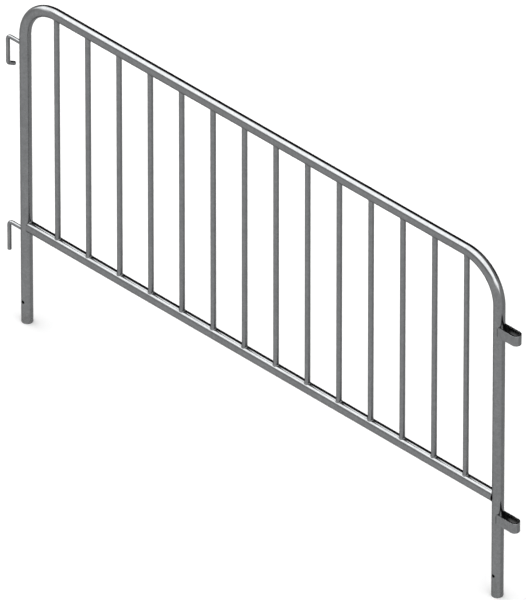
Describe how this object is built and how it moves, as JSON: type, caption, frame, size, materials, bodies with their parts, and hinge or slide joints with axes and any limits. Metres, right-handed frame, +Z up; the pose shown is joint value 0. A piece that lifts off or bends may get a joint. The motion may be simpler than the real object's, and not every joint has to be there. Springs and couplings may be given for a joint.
{
  "type": "crowd control barrier",
  "caption": "Welded steel barrier panel: bent tube frame with upright bars, rod hooks on one leg and strap loops on the other for chaining panels.",
  "frame": {"origin": "on the ground, midway between the axes of the two legs", "axes": "+X along the panel from the hooks to the loops, +Y to the rear, towards which the upper hook's tail is bent, +Z up"},
  "size_m": [1.9686, 0.0441, 1.1],
  "materials": {
    "galvanised_tube": "satin",
    "galvanised_rod": "satin",
    "galvanised_strap": "satin",
    "galvanised_weld": "satin"
  },
  "bodies": {
    "root": {"left_leg": "galvanised_tube", "left_bend": "galvanised_tube", "top_rail": "galvanised_tube", "right_bend": "galvanised_tube", "right_leg": "galvanised_tube", "lower_rail": "galvanised_tube", "bar_01": "galvanised_tube", "bar_02": "galvanised_tube", "bar_03": "galvanised_tube", "bar_04": "galvanised_tube", "bar_05": "galvanised_tube", "bar_06": "galvanised_tube", "bar_07": "galvanised_tube", "bar_08": "galvanised_tube", "bar_09": "galvanised_tube", "bar_10": "galvanised_tube", "bar_11": "galvanised_tube", "bar_12": "galvanised_tube", "bar_13": "galvanised_tube", "bar_14": "galvanised_tube", "lower_hook": "galvanised_rod", "upper_hook": "galvanised_rod", "lower_loop": "galvanised_strap", "upper_loop": "galvanised_strap", "bar_bottom_welds": "galvanised_weld", "bar_top_welds": "galvanised_weld", "lower_rail_welds": "galvanised_weld", "hook_welds": "galvanised_weld", "loop_welds": "galvanised_weld"}
  },
  "joints": []
}
